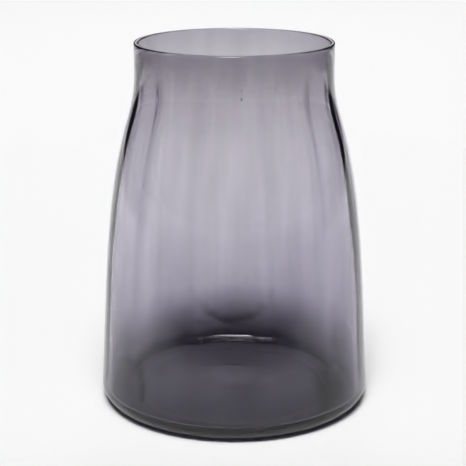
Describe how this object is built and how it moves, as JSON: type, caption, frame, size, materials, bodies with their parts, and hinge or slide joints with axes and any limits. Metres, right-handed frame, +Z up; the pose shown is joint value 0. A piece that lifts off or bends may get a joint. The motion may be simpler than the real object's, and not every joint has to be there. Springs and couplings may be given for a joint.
{
  "type": "glass vase",
  "caption": "Open mouth-blown vase of smoked glass with a short straight neck, a body that widens to a rounded foot, optic flutes inside and a thick domed floor.",
  "frame": {"origin": "middle of the flat ring that the vase stands on", "axes": "+Z up along the vase's axis, out of its mouth; the middle of one inside flute faces -Y"},
  "size_m": [0.1872, 0.1872, 0.25],
  "materials": {
    "smoked_glass": "fire-polished clear grey-violet smoke, darkest at the floor and the neck"
  },
  "bodies": {
    "root": {"vase_body": "smoked_glass"}
  },
  "joints": []
}
